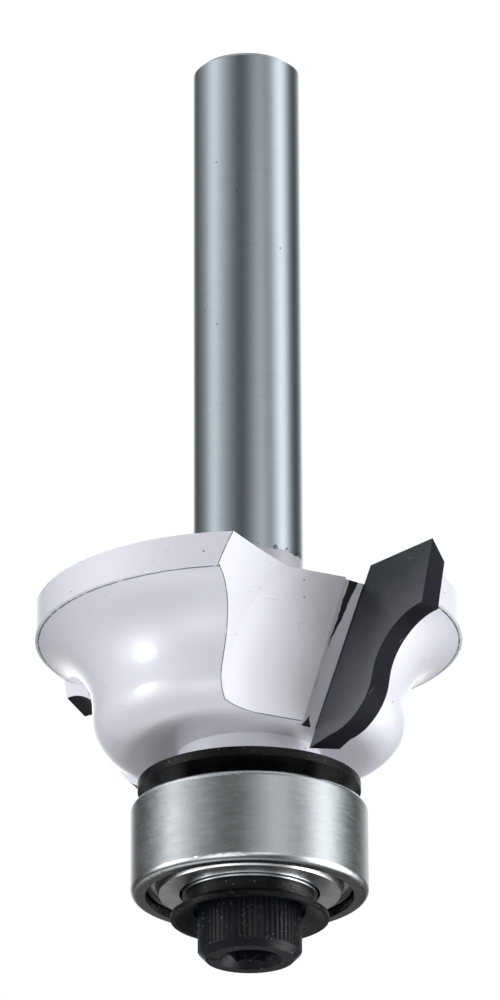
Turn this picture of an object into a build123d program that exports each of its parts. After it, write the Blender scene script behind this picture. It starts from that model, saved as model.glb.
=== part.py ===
"""Roman ogee router bit with a ball-bearing guide.

One turned and milled steel piece makes the shank, the ogee body and the bearing pilot. Two carbide tips are
brazed into pockets that open into its gullets. Under the body a dust washer, a shielded ball bearing and a
cupped washer are clamped on the pilot by a socket cap screw. All lengths are millimetres and all angles are
degrees. +Z runs up the shank, and the origin is on the axis, at the face of the screw head.
"""

from build123d import *
import math
import os

os.makedirs("parts", exist_ok=True)

# ---------------------------------------------------------------------------------------------------------
# Driving dimensions
# ---------------------------------------------------------------------------------------------------------

# Socket cap screw, M3
thread_diameter = 3.0
thread_length = 8.0
thread_tip_chamfer = 0.4
screw_head_diameter = 5.4
screw_head_height = 3.0
screw_head_chamfer = 0.35
hex_across_flats = 2.5
hex_depth = 1.5
socket_mouth_diameter = 3.44
drill_point_angle = 118.0

# Cupped washer round the screw head
cup_floor_thickness = 0.5
cup_neck_diameter = 6.8
cup_neck_height = 0.6
cup_depth = 1.3
cup_wall = 0.4
cup_lip_diameter = 8.44
cup_lip_width = 0.24
cup_lip_height = 0.24

# Ball bearing, 3/16 inch bore, 1/2 inch outside
bearing_bore = 4.763
bearing_outside = 12.7
bearing_width = 4.978
bearing_corner = 0.35
bearing_bore_corner = 0.2
inner_land_diameter = 7.2
outer_land_diameter = 10.26
ball_diameter = 2.381
ball_circle_diameter = 8.731
ball_count = 7
groove_conformity = 0.515
outer_rim_wall = 0.78
shield_recess_depth = 0.82
shield_thickness = 0.12
shield_rim_width = 0.6
shield_dish_slope_width = 0.22
shield_sink = 0.13
shield_hole_clearance = 0.15
snap_wire_diameter = 0.24
snap_wire_gap_angle = 16.0
cage_thickness = 0.2
cage_width = 0.83
pocket_width = 1.05
ball_pocket_clearance = 0.05

# Dust washer above the bearing
dust_washer_diameter = 11.98
dust_washer_thickness = 0.47
dust_washer_hub_diameter = 7.1
dust_washer_hub_height = 0.9

# Steel body, neck and pilot
body_diameter = 23.16
rim_height = 1.8
cove_radius = 4.25
waist_diameter = 16.9
waist_height = 0.45
bead_radius = 2.05
neck_diameter = 7.8
neck_height = 1.55
pilot_end_gap = 0.35
pilot_chamfer = 0.25
tapped_hole_reserve = 1.0

# Shank
shank_diameter = 6.0
shank_length = 32.6
shank_top_chamfer = 0.25
shank_root_radius = 2.0

# Carbide tips
tip_overhang = 0.92
tip_thickness = 1.84
tip_azimuth = 40.0
shear_angle = 14.4
rake_setback = 2.78
tip_top_above_body = 1.1
tip_bottom_below_body = 1.0
tip_top_inner_diameter = 15.3
tip_bottom_inner_diameter = 10.4
cutting_land_height = 3.95
cutting_cove_radius = 3.1
cutting_waist_height = 0.6
cutting_bead_radius = 2.5
radial_relief = 0.5
axial_relief = 0.36
tip_top_slope = 0.6

# Gullets, each sunk by an angle cutter that stands square to the gullet's floor, in front of the tip. The lip
# is where the floor meets the pocket. The floor's width and the cutter's middle are measured from the lip.
gullet_lead = 1.27
lip_step_top = 0.25
lip_step_bottom = 0.75
gullet_floor_width = 5.15
gullet_floor_angle = 13.0
gullet_side_angle = 39.6
gullet_cutter_radius = 10.0
gullet_cutter_height = 2.13

# Clearances
pilot_clearance = 0.02
thread_clearance = 0.02
washer_bore_clearance = 0.1
wire_clearance = 0.02

# How far a cut runs past what it cuts
overrun = 1.0

number_of_tips = 2

# ---------------------------------------------------------------------------------------------------------
# Levels and shared sizes that follow from the above
# ---------------------------------------------------------------------------------------------------------

bearing_bottom = screw_head_height + cup_floor_thickness
bearing_middle = bearing_bottom + bearing_width / 2
bearing_top = bearing_bottom + bearing_width
dust_plate_bottom = bearing_top + dust_washer_hub_height
neck_bottom = dust_plate_bottom + dust_washer_thickness
body_bottom = neck_bottom + neck_height
waist_bottom = body_bottom + bead_radius
waist_top = waist_bottom + waist_height

pilot_radius = bearing_bore / 2 - pilot_clearance
neck_radius = neck_diameter / 2
waist_radius = waist_diameter / 2
body_radius = body_diameter / 2
shank_radius = shank_diameter / 2
cove_height = math.sqrt(cove_radius**2 - (waist_radius + cove_radius - body_radius) ** 2)
rim_bottom = waist_top + cove_height
body_top = rim_bottom + rim_height
shank_top = body_top + shank_length

pilot_bottom = bearing_bottom + pilot_end_gap
screw_tip = screw_head_height + thread_length
drill_point_slope = 1 / math.tan(math.radians(drill_point_angle / 2))

ball_radius = ball_diameter / 2
ball_circle_radius = ball_circle_diameter / 2
groove_radius = groove_conformity * ball_diameter
inner_land_radius = inner_land_diameter / 2
outer_land_radius = outer_land_diameter / 2
shield_recess_radius = bearing_outside / 2 - outer_rim_wall


def export(name, part):
    """Label a finished piece and write it to its STEP file."""
    part.label = name
    export_step(part, f"parts/{name}.step")


# ---------------------------------------------------------------------------------------------------------
# The leaning plane of a cutting face, and places on it
# ---------------------------------------------------------------------------------------------------------

azimuth = math.radians(tip_azimuth)
shear = math.radians(shear_angle)

# Outward runs level from the axis towards the rim. Forward is the way the rake face looks and cuts.
outward = Vector(math.sin(azimuth), -math.cos(azimuth), 0)
forward = Vector(-math.cos(azimuth) * math.cos(shear), -math.sin(azimuth) * math.cos(shear), math.sin(shear))


def tip_plane(depth):
    """The plane at a depth behind the rake face, with its x axis outward and its y axis up the tip."""
    return Plane(origin=forward * (rake_setback - depth), x_dir=outward, z_dir=forward)


def up_tip(depth, height):
    """The y coordinate of a height on the plane at a depth behind the rake face."""
    lead = rake_setback - depth
    return (height - lead * math.sin(shear)) / math.cos(shear)


def on_tip(depth, radius, height):
    """The coordinates of a radius from the axis and a height, on the plane at a depth."""
    up = up_tip(depth, height)
    behind_axis = up * math.sin(shear) - (rake_setback - depth) * math.cos(shear)
    return Vector(math.sqrt(radius**2 - behind_axis**2), up)


tip_top = body_top + tip_top_above_body
tip_bottom = body_bottom - tip_bottom_below_body
cutting_radius = body_radius + tip_overhang
cutting_corner = tip_top - cutting_land_height
cutting_waist_radius = cutting_radius - cutting_cove_radius
cutting_waist_top = cutting_corner - cutting_cove_radius
cutting_waist_bottom = cutting_waist_top - cutting_waist_height
cutting_foot_radius = cutting_waist_radius - cutting_bead_radius
cutting_foot = cutting_waist_bottom - cutting_bead_radius
arc_middle = math.sin(math.radians(45))

# The straight inner edge of the tip, on the rake face. The tip's inner side, its pocket and its gullet
# all follow it.
inner_edge_top = on_tip(0, tip_top_inner_diameter / 2, tip_top)
inner_edge_bottom = on_tip(0, tip_bottom_inner_diameter / 2, tip_bottom)
inner_edge_slope = (inner_edge_top.X - inner_edge_bottom.X) / (inner_edge_top.Y - inner_edge_bottom.Y)


def on_inner_edge(up):
    """The point of the inner edge line at a y coordinate of the tip's planes."""
    return Vector(inner_edge_bottom.X + (up - inner_edge_bottom.Y) * inner_edge_slope, up)


# ---------------------------------------------------------------------------------------------------------
# Carbide tips: an ogee cutting edge in front, and a smaller one behind it for relief
# ---------------------------------------------------------------------------------------------------------

with BuildPart() as tip_form:
    for depth, inset, rise, drop in (
        (0, 0, 0, 0),
        (tip_thickness, radial_relief, axial_relief, tip_top_slope),
    ):
        top = tip_top - drop
        land_radius = cutting_radius - inset
        waist = cutting_waist_radius - inset
        foot_radius = cutting_foot_radius - inset
        corner = on_tip(depth, land_radius, cutting_corner + rise)
        cove_middle = on_tip(
            depth,
            land_radius - cutting_cove_radius * arc_middle,
            cutting_corner + rise - cutting_cove_radius * (1 - arc_middle),
        )
        waist_upper = on_tip(depth, waist, cutting_waist_top + rise)
        waist_lower = on_tip(depth, waist, cutting_waist_bottom + rise)
        bead_middle = on_tip(
            depth,
            foot_radius + cutting_bead_radius * arc_middle,
            cutting_foot + rise + cutting_bead_radius * (1 - arc_middle),
        )
        foot = on_tip(depth, foot_radius, cutting_foot + rise)
        inner_top = on_inner_edge(up_tip(depth, top))
        inner_bottom = on_inner_edge(up_tip(depth, tip_bottom + rise))
        with BuildSketch(tip_plane(depth)):
            with BuildLine():
                Polyline(foot, inner_bottom, inner_top, on_tip(depth, land_radius, top), corner)
                ThreePointArc(corner, cove_middle, waist_upper)
                Line(waist_upper, waist_lower)
                ThreePointArc(waist_lower, bead_middle, foot)
            make_face()
    loft(ruled=True)

for number in range(number_of_tips):
    with BuildPart() as carbide_tip:
        add(tip_form.part.rotate(Axis.Z, 360 / number_of_tips * number))
    export(f"carbide_tip_{number + 1}", carbide_tip.part)

# ---------------------------------------------------------------------------------------------------------
# Cuts in the steel: the pocket that seats a tip, and the gullet in front of it
# ---------------------------------------------------------------------------------------------------------

pocket_reach = cutting_radius + overrun

with BuildPart() as tip_pocket:
    pocket_top = on_inner_edge(inner_edge_top.Y + overrun)
    pocket_bottom = on_inner_edge(inner_edge_bottom.Y - overrun)
    with BuildSketch(tip_plane(tip_thickness)):
        with BuildLine():
            Polyline(
                pocket_bottom,
                pocket_top,
                (pocket_reach, pocket_top.Y),
                (pocket_reach, pocket_bottom.Y),
                close=True,
            )
        make_face()
    extrude(amount=tip_thickness + gullet_lead + overrun / 10)


def direction(angle):
    """A level unit vector at an angle from +X."""
    return Vector(math.cos(math.radians(angle)), math.sin(math.radians(angle)), 0)


def lip_point(height, step):
    """The point of a gullet's lip at a height, a step outside the line of the tip's inner edge."""
    level = on_inner_edge(up_tip(-gullet_lead, height))
    return tip_plane(-gullet_lead).from_local_coords(level + Vector(step, 0))


# The angle cutter's middle lies on the floor beyond the lip, and its axis is square to the floor
lip_top = lip_point(body_top, lip_step_top)
down_lip = (lip_point(body_bottom, lip_step_bottom) - lip_top).normalized()
lip_middle = lip_top + down_lip * (body_top - body_bottom - gullet_cutter_height) / -down_lip.Z
out_of_floor = down_lip.cross(direction(tip_azimuth - gullet_floor_angle)).normalized()
across_floor = down_lip.cross(out_of_floor)
cutter_middle = lip_middle - across_floor * (gullet_cutter_radius - gullet_floor_width)
cutter_height = body_radius

with BuildPart() as gullet:
    with BuildSketch(Plane(cutter_middle, x_dir=across_floor, z_dir=-down_lip)) as cutter_section:
        with BuildLine():
            side_reach = cutter_height / math.tan(math.radians(gullet_side_angle))
            Polyline(
                (0, 0),
                (gullet_cutter_radius, 0),
                (gullet_cutter_radius + side_reach, cutter_height),
                (0, cutter_height),
                close=True,
            )
        make_face()
    revolve(axis=Axis(cutter_middle, out_of_floor))
    split(bisect_by=tip_plane(-gullet_lead), keep=Keep.TOP)

# ---------------------------------------------------------------------------------------------------------
# Cutter body: shank, ogee body, neck and pilot in one piece, with a tapped hole for the screw
# ---------------------------------------------------------------------------------------------------------

with BuildPart() as cutter_body:
    hole_radius = thread_diameter / 2 + thread_clearance
    hole_top = screw_tip + tapped_hole_reserve
    with BuildSketch(Plane.XZ):
        with BuildLine():
            Polyline(
                (0, shank_top),
                (0, hole_top + hole_radius * drill_point_slope),
                (hole_radius, hole_top),
                (hole_radius, pilot_bottom),
                (pilot_radius - pilot_chamfer, pilot_bottom),
                (pilot_radius, pilot_bottom + pilot_chamfer),
                (pilot_radius, neck_bottom),
                (neck_radius, neck_bottom),
                (neck_radius, body_bottom),
                (waist_radius - bead_radius, body_bottom),
            )
            TangentArc((waist_radius - bead_radius, body_bottom), (waist_radius, waist_bottom), tangent=(1, 0))
            Line((waist_radius, waist_bottom), (waist_radius, waist_top))
            TangentArc((waist_radius, waist_top), (body_radius, rim_bottom), tangent=(0, 1))
            Polyline(
                (body_radius, rim_bottom),
                (body_radius, body_top),
                (shank_radius + shank_root_radius, body_top),
            )
            TangentArc(
                (shank_radius + shank_root_radius, body_top),
                (shank_radius, body_top + shank_root_radius),
                tangent=(-1, 0),
            )
            Polyline(
                (shank_radius, body_top + shank_root_radius),
                (shank_radius, shank_top - shank_top_chamfer),
                (shank_radius - shank_top_chamfer, shank_top),
                (0, shank_top),
            )
        make_face()
    revolve(axis=Axis.Z)
    with PolarLocations(0, number_of_tips):
        add(gullet.part, mode=Mode.SUBTRACT)
        add(tip_pocket.part, mode=Mode.SUBTRACT)
export("cutter_body", cutter_body.part)

# ---------------------------------------------------------------------------------------------------------
# Dust washer
# ---------------------------------------------------------------------------------------------------------

with BuildPart() as dust_washer:
    with BuildSketch(Plane.XY.offset(dust_plate_bottom)):
        Circle(dust_washer_diameter / 2)
    extrude(amount=dust_washer_thickness)
    with BuildSketch(Plane.XY.offset(bearing_top)):
        Circle(dust_washer_hub_diameter / 2)
    extrude(amount=dust_washer_hub_height)
    with BuildSketch(Plane.XY.offset(bearing_top)):
        Circle(pilot_radius + washer_bore_clearance)
    extrude(amount=dust_washer_hub_height + dust_washer_thickness, mode=Mode.SUBTRACT)
export("dust_washer", dust_washer.part)

# ---------------------------------------------------------------------------------------------------------
# Ball bearing: two grooved rings, balls in a ribbon cage, and a shield and snap wire at each end
# ---------------------------------------------------------------------------------------------------------


def ring_groove():
    """The torus that grinds the ball groove into both rings."""
    with BuildPart(Plane.XY.offset(bearing_middle)) as groove:
        Torus(ball_circle_radius, groove_radius)
    return groove.part


with BuildPart() as inner_ring:
    with BuildSketch(Plane.XZ) as inner_ring_section:
        with BuildLine():
            Polyline(
                (bearing_bore / 2, bearing_bottom),
                (inner_land_radius, bearing_bottom),
                (inner_land_radius, bearing_top),
                (bearing_bore / 2, bearing_top),
                close=True,
            )
        make_face()
        bore_corners = inner_ring_section.vertices().group_by(Axis.X)[0]
        chamfer(bore_corners, length=bearing_bore_corner)
    revolve(axis=Axis.Z)
    add(ring_groove(), mode=Mode.SUBTRACT)
export("bearing_inner_ring", inner_ring.part)

with BuildPart() as outer_ring:
    with BuildSketch(Plane.XZ) as outer_ring_section:
        with BuildLine():
            Polyline(
                (bearing_outside / 2, bearing_bottom),
                (bearing_outside / 2, bearing_top),
                (shield_recess_radius, bearing_top),
                (shield_recess_radius, bearing_top - shield_recess_depth),
                (outer_land_radius, bearing_top - shield_recess_depth),
                (outer_land_radius, bearing_bottom + shield_recess_depth),
                (shield_recess_radius, bearing_bottom + shield_recess_depth),
                (shield_recess_radius, bearing_bottom),
                close=True,
            )
        make_face()
        rolling_corners = outer_ring_section.vertices().group_by(Axis.X)[-1]
        fillet(rolling_corners, radius=bearing_corner)
    revolve(axis=Axis.Z)
    add(ring_groove(), mode=Mode.SUBTRACT)
export("bearing_outer_ring", outer_ring.part)

for number in range(ball_count):
    ball_angle = 360 / ball_count * number
    ball_centre = direction(ball_angle) * ball_circle_radius + Vector(0, 0, bearing_middle)
    with BuildPart(Plane(origin=ball_centre)) as ball:
        Sphere(ball_radius)
    export(f"ball_{number + 1}", ball.part)

with BuildPart() as cage_half_lower:
    pocket_radius = ball_radius + ball_pocket_clearance
    with Locations((0, 0, bearing_middle)):
        with PolarLocations(ball_circle_radius, ball_count):
            Sphere(pocket_radius + cage_thickness)
    with BuildSketch(Plane.XY.offset(bearing_middle)):
        Circle(ball_circle_radius + pocket_width / 2)
        Circle(ball_circle_radius - pocket_width / 2, mode=Mode.SUBTRACT)
    extrude(amount=-bearing_width, mode=Mode.INTERSECT)
    with BuildSketch(Plane.XY.offset(bearing_middle)):
        Circle(ball_circle_radius + cage_width / 2)
        Circle(ball_circle_radius - cage_width / 2, mode=Mode.SUBTRACT)
    extrude(amount=-cage_thickness)
    with Locations((0, 0, bearing_middle)):
        with PolarLocations(ball_circle_radius, ball_count):
            Sphere(pocket_radius, mode=Mode.SUBTRACT)
export("cage_half_lower", cage_half_lower.part)

with BuildPart() as shield_lower:
    seat_level = bearing_bottom + shield_recess_depth
    dish_level = bearing_bottom + shield_sink
    rim_radius = shield_recess_radius - wire_clearance
    step_radius = rim_radius - shield_rim_width
    dish_radius = step_radius - shield_dish_slope_width
    with BuildSketch(Plane.XZ):
        with BuildLine():
            Polyline(
                (rim_radius, seat_level),
                (step_radius, seat_level),
                (dish_radius, dish_level + shield_thickness),
                (inner_land_radius + shield_hole_clearance, dish_level + shield_thickness),
                (inner_land_radius + shield_hole_clearance, dish_level),
                (dish_radius + shield_thickness, dish_level),
                (step_radius + shield_thickness, seat_level - shield_thickness),
                (rim_radius, seat_level - shield_thickness),
                close=True,
            )
        make_face()
    revolve(axis=Axis.Z)
export("shield_lower", shield_lower.part)

with BuildPart() as snap_wire_lower:
    wire_radius = snap_wire_diameter / 2
    wire_ring_radius = shield_recess_radius - wire_clearance - wire_radius
    wire_level = bearing_bottom + shield_recess_depth - shield_thickness - wire_radius
    with BuildSketch(Plane.XZ):
        with Locations((wire_ring_radius, wire_level)):
            Circle(wire_radius)
    revolve(axis=Axis.Z, revolution_arc=360 - snap_wire_gap_angle)
export("snap_wire_lower", snap_wire_lower.part)

for name, lower in (("cage_half", cage_half_lower), ("shield", shield_lower), ("snap_wire", snap_wire_lower)):
    with BuildPart() as upper:
        mirror(lower.part, about=Plane.XY.offset(bearing_middle))
    export(f"{name}_upper", upper.part)

# ---------------------------------------------------------------------------------------------------------
# Cupped washer and cap screw
# ---------------------------------------------------------------------------------------------------------

with BuildPart() as cup_washer:
    cup_bore_radius = thread_diameter / 2 + washer_bore_clearance
    neck_outer = cup_neck_diameter / 2
    neck_inner = neck_outer - cup_wall
    lip_radius = cup_lip_diameter / 2
    lip_bottom = bearing_bottom - cup_depth
    neck_end = bearing_bottom - cup_neck_height
    with BuildSketch(Plane.XZ):
        with BuildLine():
            Polyline(
                (cup_bore_radius, bearing_bottom),
                (neck_outer, bearing_bottom),
                (neck_outer, neck_end),
                (lip_radius, lip_bottom + cup_lip_height),
                (lip_radius, lip_bottom),
                (lip_radius - cup_lip_width, lip_bottom),
                (neck_inner, neck_end - cup_lip_height),
                (neck_inner, screw_head_height),
                (cup_bore_radius, screw_head_height),
                close=True,
            )
        make_face()
    revolve(axis=Axis.Z)
export("cup_washer", cup_washer.part)

with BuildPart() as cap_screw:
    head_radius = screw_head_diameter / 2
    thread_radius = thread_diameter / 2
    mouth_radius = socket_mouth_diameter / 2
    with BuildSketch(Plane.XZ):
        with BuildLine():
            Polyline(
                (0, 0),
                (head_radius - screw_head_chamfer, 0),
                (head_radius, screw_head_chamfer),
                (head_radius, screw_head_height),
                (thread_radius, screw_head_height),
                (thread_radius, screw_tip - thread_tip_chamfer),
                (thread_radius - thread_tip_chamfer, screw_tip),
                (0, screw_tip),
                close=True,
            )
        make_face()
    revolve(axis=Axis.Z)
    with BuildSketch(Plane.XY):
        RegularPolygon(hex_across_flats / 2, 6, major_radius=False)
    extrude(amount=hex_depth, mode=Mode.SUBTRACT)
    with BuildSketch(Plane.XZ):
        with BuildLine():
            Polyline((0, 0), (mouth_radius, 0), (0, mouth_radius), close=True)
        make_face()
    revolve(axis=Axis.Z, mode=Mode.SUBTRACT)
    with BuildSketch(Plane.XZ):
        with BuildLine():
            Polyline(
                (0, hex_depth),
                (hex_across_flats / 2, hex_depth),
                (0, hex_depth + hex_across_flats / 2 * drill_point_slope),
                close=True,
            )
        make_face()
    revolve(axis=Axis.Z, mode=Mode.SUBTRACT)
export("cap_screw", cap_screw.part)
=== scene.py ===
"""Looks of a roman ogee router bit with a ball-bearing guide.

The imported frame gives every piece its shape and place. This script gives each piece its finish, adds the
straight knurl of the cap screw, the braze marks, the worn edges and the small marks of use, and sets up a
plain studio. Lengths are metres, and angles are degrees until a function turns them into radians.
"""

import logging
import math
from dataclasses import dataclass
from functools import cached_property
from typing import Sequence

import bpy
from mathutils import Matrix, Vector


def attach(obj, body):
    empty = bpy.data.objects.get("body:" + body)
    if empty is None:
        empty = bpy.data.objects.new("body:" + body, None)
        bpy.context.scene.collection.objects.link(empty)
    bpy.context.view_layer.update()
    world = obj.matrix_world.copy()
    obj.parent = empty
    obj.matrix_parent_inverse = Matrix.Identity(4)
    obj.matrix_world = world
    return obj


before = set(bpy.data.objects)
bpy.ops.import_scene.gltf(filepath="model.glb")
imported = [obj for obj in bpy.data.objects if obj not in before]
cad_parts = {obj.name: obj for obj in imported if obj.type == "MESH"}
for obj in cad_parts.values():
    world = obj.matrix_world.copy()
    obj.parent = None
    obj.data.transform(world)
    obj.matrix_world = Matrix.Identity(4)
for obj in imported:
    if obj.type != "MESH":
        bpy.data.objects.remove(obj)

LOG = logging.getLogger("router_bit")
MM = 0.001

Colour = tuple[float, float, float]
Socket = bpy.types.NodeSocket
Inputs = dict[str | int, object]


def opaque(colour: Colour, shade: float = 1.0) -> tuple[float, float, float, float]:
    """A colour with full alpha, multiplied by a shade and kept within white."""
    red, green, blue = (min(1.0, part * shade) for part in colour)
    return (red, green, blue, 1.0)


def level_direction(angle: float) -> Vector:
    """A level unit vector at an angle from +X, in degrees."""
    return Vector((math.cos(math.radians(angle)), math.sin(math.radians(angle)), 0.0))


@dataclass(frozen=True)
class Noise:
    """The values of a noise texture."""

    scale: float
    detail: float = 2.0
    roughness: float = 0.5


@dataclass(frozen=True)
class Marks:
    """Specks or scratches: cells in a metre, a mark's width in its cell, and the share of them kept."""

    scale: float
    width: float
    amount: float


@dataclass(frozen=True)
class Grain:
    """The scales of a grinding grain, level and upright, and how deep it shows."""

    along: float
    across: float
    depth: float


class Nodes:
    """Adds and links the nodes of one tree, so that a finish reads as a few lines."""

    def __init__(self, tree: bpy.types.NodeTree) -> None:
        """Keeps the tree that the nodes go into."""
        self.tree = tree

    def add(self, kind: str, inputs: Inputs | None = None, **settings: object) -> bpy.types.Node:
        """Adds one node.

        Args:
            kind: The node's type, such as ShaderNodeMath.
            inputs: Values or sockets for its inputs, by name or number.
            settings: Properties of the node.

        Returns:
            The new node.
        """
        node = self.tree.nodes.new(kind)
        for name, value in settings.items():
            setattr(node, name, value)
        for name, value in (inputs or {}).items():
            self.feed(node.inputs[name], value)
        return node

    def feed(self, socket: Socket, value: object) -> None:
        """Links a socket to another one, or sets its value."""
        if isinstance(value, bpy.types.NodeSocket):
            self.tree.links.new(value, socket)
        else:
            socket.default_value = tuple(value) if isinstance(value, Vector) else value

    def math(self, operation: str, *values: object) -> Socket:
        """The result of a Math node on up to three values or sockets."""
        return self.add("ShaderNodeMath", dict(enumerate(values)), operation=operation).outputs[0]

    def product(self, *values: object) -> Socket:
        """The product of two or more values or sockets, such as masks that all have to hold."""
        result = values[0]
        for value in values[1:]:
            result = self.math("MULTIPLY", result, value)
        return result

    def less(self, value: object, limit: object) -> Socket:
        """1 where a value is under a limit, and 0 elsewhere."""
        return self.math("LESS_THAN", value, limit)

    def greater(self, value: object, limit: object) -> Socket:
        """1 where a value is over a limit, and 0 elsewhere."""
        return self.math("GREATER_THAN", value, limit)

    def within(self, value: object, middle: object, reach: object) -> Socket:
        """1 where a value is nearer to a middle than a reach, and 0 elsewhere."""
        return self.less(self.math("ABSOLUTE", self.math("SUBTRACT", value, middle)), reach)

    def inverse(self, share: object) -> Socket:
        """What a share leaves of 1."""
        return self.math("SUBTRACT", 1.0, share)

    def vector_math(self, operation: str, inputs: Inputs, output: str) -> Socket:
        """One output of a Vector Math node."""
        return self.add("ShaderNodeVectorMath", inputs, operation=operation).outputs[output]

    def vector(self, operation: str, *values: object) -> Socket:
        """The vector that a Vector Math node gives."""
        return self.vector_math(operation, dict(enumerate(values)), "Vector")

    def dot(self, first: object, second: object) -> Socket:
        """The dot product of two vectors."""
        return self.vector_math("DOT_PRODUCT", {0: first, 1: second}, "Value")

    def length(self, vector: object) -> Socket:
        """The length of a vector."""
        return self.vector_math("LENGTH", {0: vector}, "Value")

    def scaled(self, vector: object, factor: object) -> Socket:
        """A vector multiplied by a number."""
        return self.vector_math("SCALE", {0: vector, "Scale": factor}, "Vector")

    def band(self, value: Socket, start: float, end: float, low: float = 0.0, high: float = 1.0) -> Socket:
        """A smooth step from low at start to high at end."""
        inputs = {"Value": value, "From Min": start, "From Max": end, "To Min": low, "To Max": high}
        node = self.add("ShaderNodeMapRange", inputs, interpolation_type="SMOOTHSTEP")
        return node.outputs["Result"]

    def mix(self, share: object, below: object, above: object) -> Socket:
        """The colour between two colours, at a share from 0 to 1."""
        node = self.add("ShaderNodeMix", {0: share, 6: below, 7: above}, data_type="RGBA")
        return node.outputs[2]

    def noise(self, place: Socket, noise: Noise, output: str = "Fac") -> Socket:
        """What a noise texture gives at a place: its value, or the output asked for."""
        values = {"Scale": noise.scale, "Detail": noise.detail, "Roughness": noise.roughness}
        return self.add("ShaderNodeTexNoise", {"Vector": place, **values}).outputs[output]

    def wobble(self, place: Socket, noise: Noise, reach: float) -> Socket:
        """A noise that swings about zero, over a reach in all."""
        return self.product(self.math("SUBTRACT", self.noise(place, noise), 0.5), reach)

    def group(self, tree: bpy.types.NodeTree, *values: object) -> Socket:
        """The output of a node group, with its inputs set in their order."""
        node = self.add("ShaderNodeGroup", node_tree=tree)
        for socket, value in zip(node.inputs, values):
            self.feed(socket, value)
        return node.outputs[0]


# --------------------------------------------------
# Effects and finishes that several pieces share
# --------------------------------------------------


class Effects:
    """The shader node groups that more than one finish uses. Each gives one value for a place."""

    speck_edge: Noise = Noise(9000.0, 3.0)
    scratch_bend: Noise = Noise(160.0, 1.0)
    bend_reach: float = 2.5 * MM
    scratch_breaks: Noise = Noise(700.0)
    grain_noise: Noise = Noise(1.0, 3.0, 0.6)

    def __init__(self) -> None:
        """Builds each group once."""
        self.specks = self.build_specks()
        self.scratches = self.build_scratches()
        self.grain = self.build_grain()

    @staticmethod
    def start(name: str, inputs: Sequence[str]) -> tuple[Nodes, dict[str, Socket], Socket]:
        """Starts a group that reads a place and some numbers.

        Args:
            name: The group's name.
            inputs: The names of its number inputs.

        Returns:
            The node helper, the group's inputs by name, and the input of its output node.
        """
        tree = bpy.data.node_groups.new(name, "ShaderNodeTree")
        tree.interface.new_socket("Place", in_out="INPUT", socket_type="NodeSocketVector")
        for label in inputs:
            tree.interface.new_socket(label, in_out="INPUT", socket_type="NodeSocketFloat")
        tree.interface.new_socket("Value", in_out="OUTPUT", socket_type="NodeSocketFloat")
        nodes = Nodes(tree)
        source = nodes.add("NodeGroupInput")
        return nodes, source.outputs, nodes.add("NodeGroupOutput").inputs["Value"]

    def build_specks(self) -> bpy.types.NodeTree:
        """Small specks of uneven size at random places."""
        nodes, source, out = self.start("specks", ("Scale", "Width", "Amount"))
        cells = nodes.add("ShaderNodeTexVoronoi", {"Vector": source["Place"], "Scale": source["Scale"]})
        parts = nodes.add("ShaderNodeSeparateColor", {"Color": cells.outputs["Color"]})
        uneven = nodes.noise(source["Place"], self.speck_edge)
        reach = nodes.product(source["Width"], nodes.math("ADD", parts.outputs["Green"], uneven))
        chosen = nodes.less(parts.outputs["Red"], source["Amount"])
        nodes.feed(out, nodes.product(nodes.less(cells.outputs["Distance"], reach), chosen))
        return nodes.tree

    def build_scratches(self) -> bpy.types.NodeTree:
        """Short thin scratches that run in many directions."""
        nodes, source, out = self.start("scratches", ("Scale", "Width", "Amount"))
        bend = nodes.noise(source["Place"], self.scratch_bend, "Color")
        place = nodes.vector("ADD", source["Place"], nodes.scaled(bend, self.bend_reach))
        lines = nodes.add("ShaderNodeTexVoronoi", {"Vector": place, "Scale": source["Scale"]})
        lines.feature = "DISTANCE_TO_EDGE"
        thin = nodes.less(lines.outputs["Distance"], source["Width"])
        breaks = nodes.noise(source["Place"], self.scratch_breaks)
        kept = nodes.greater(breaks, nodes.inverse(source["Amount"]))
        nodes.feed(out, nodes.product(thin, kept))
        return nodes.tree

    def build_grain(self) -> bpy.types.NodeTree:
        """Grinding grain: fine noise with one scale level and another one upright."""
        nodes, source, out = self.start("grain", ("Along", "Across"))
        stretch = {"X": source["Along"], "Y": source["Along"], "Z": source["Across"]}
        scale = nodes.add("ShaderNodeCombineXYZ", stretch).outputs[0]
        stretched = nodes.vector("MULTIPLY", source["Place"], scale)
        nodes.feed(out, nodes.noise(stretched, self.grain_noise))
        return nodes.tree


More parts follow.
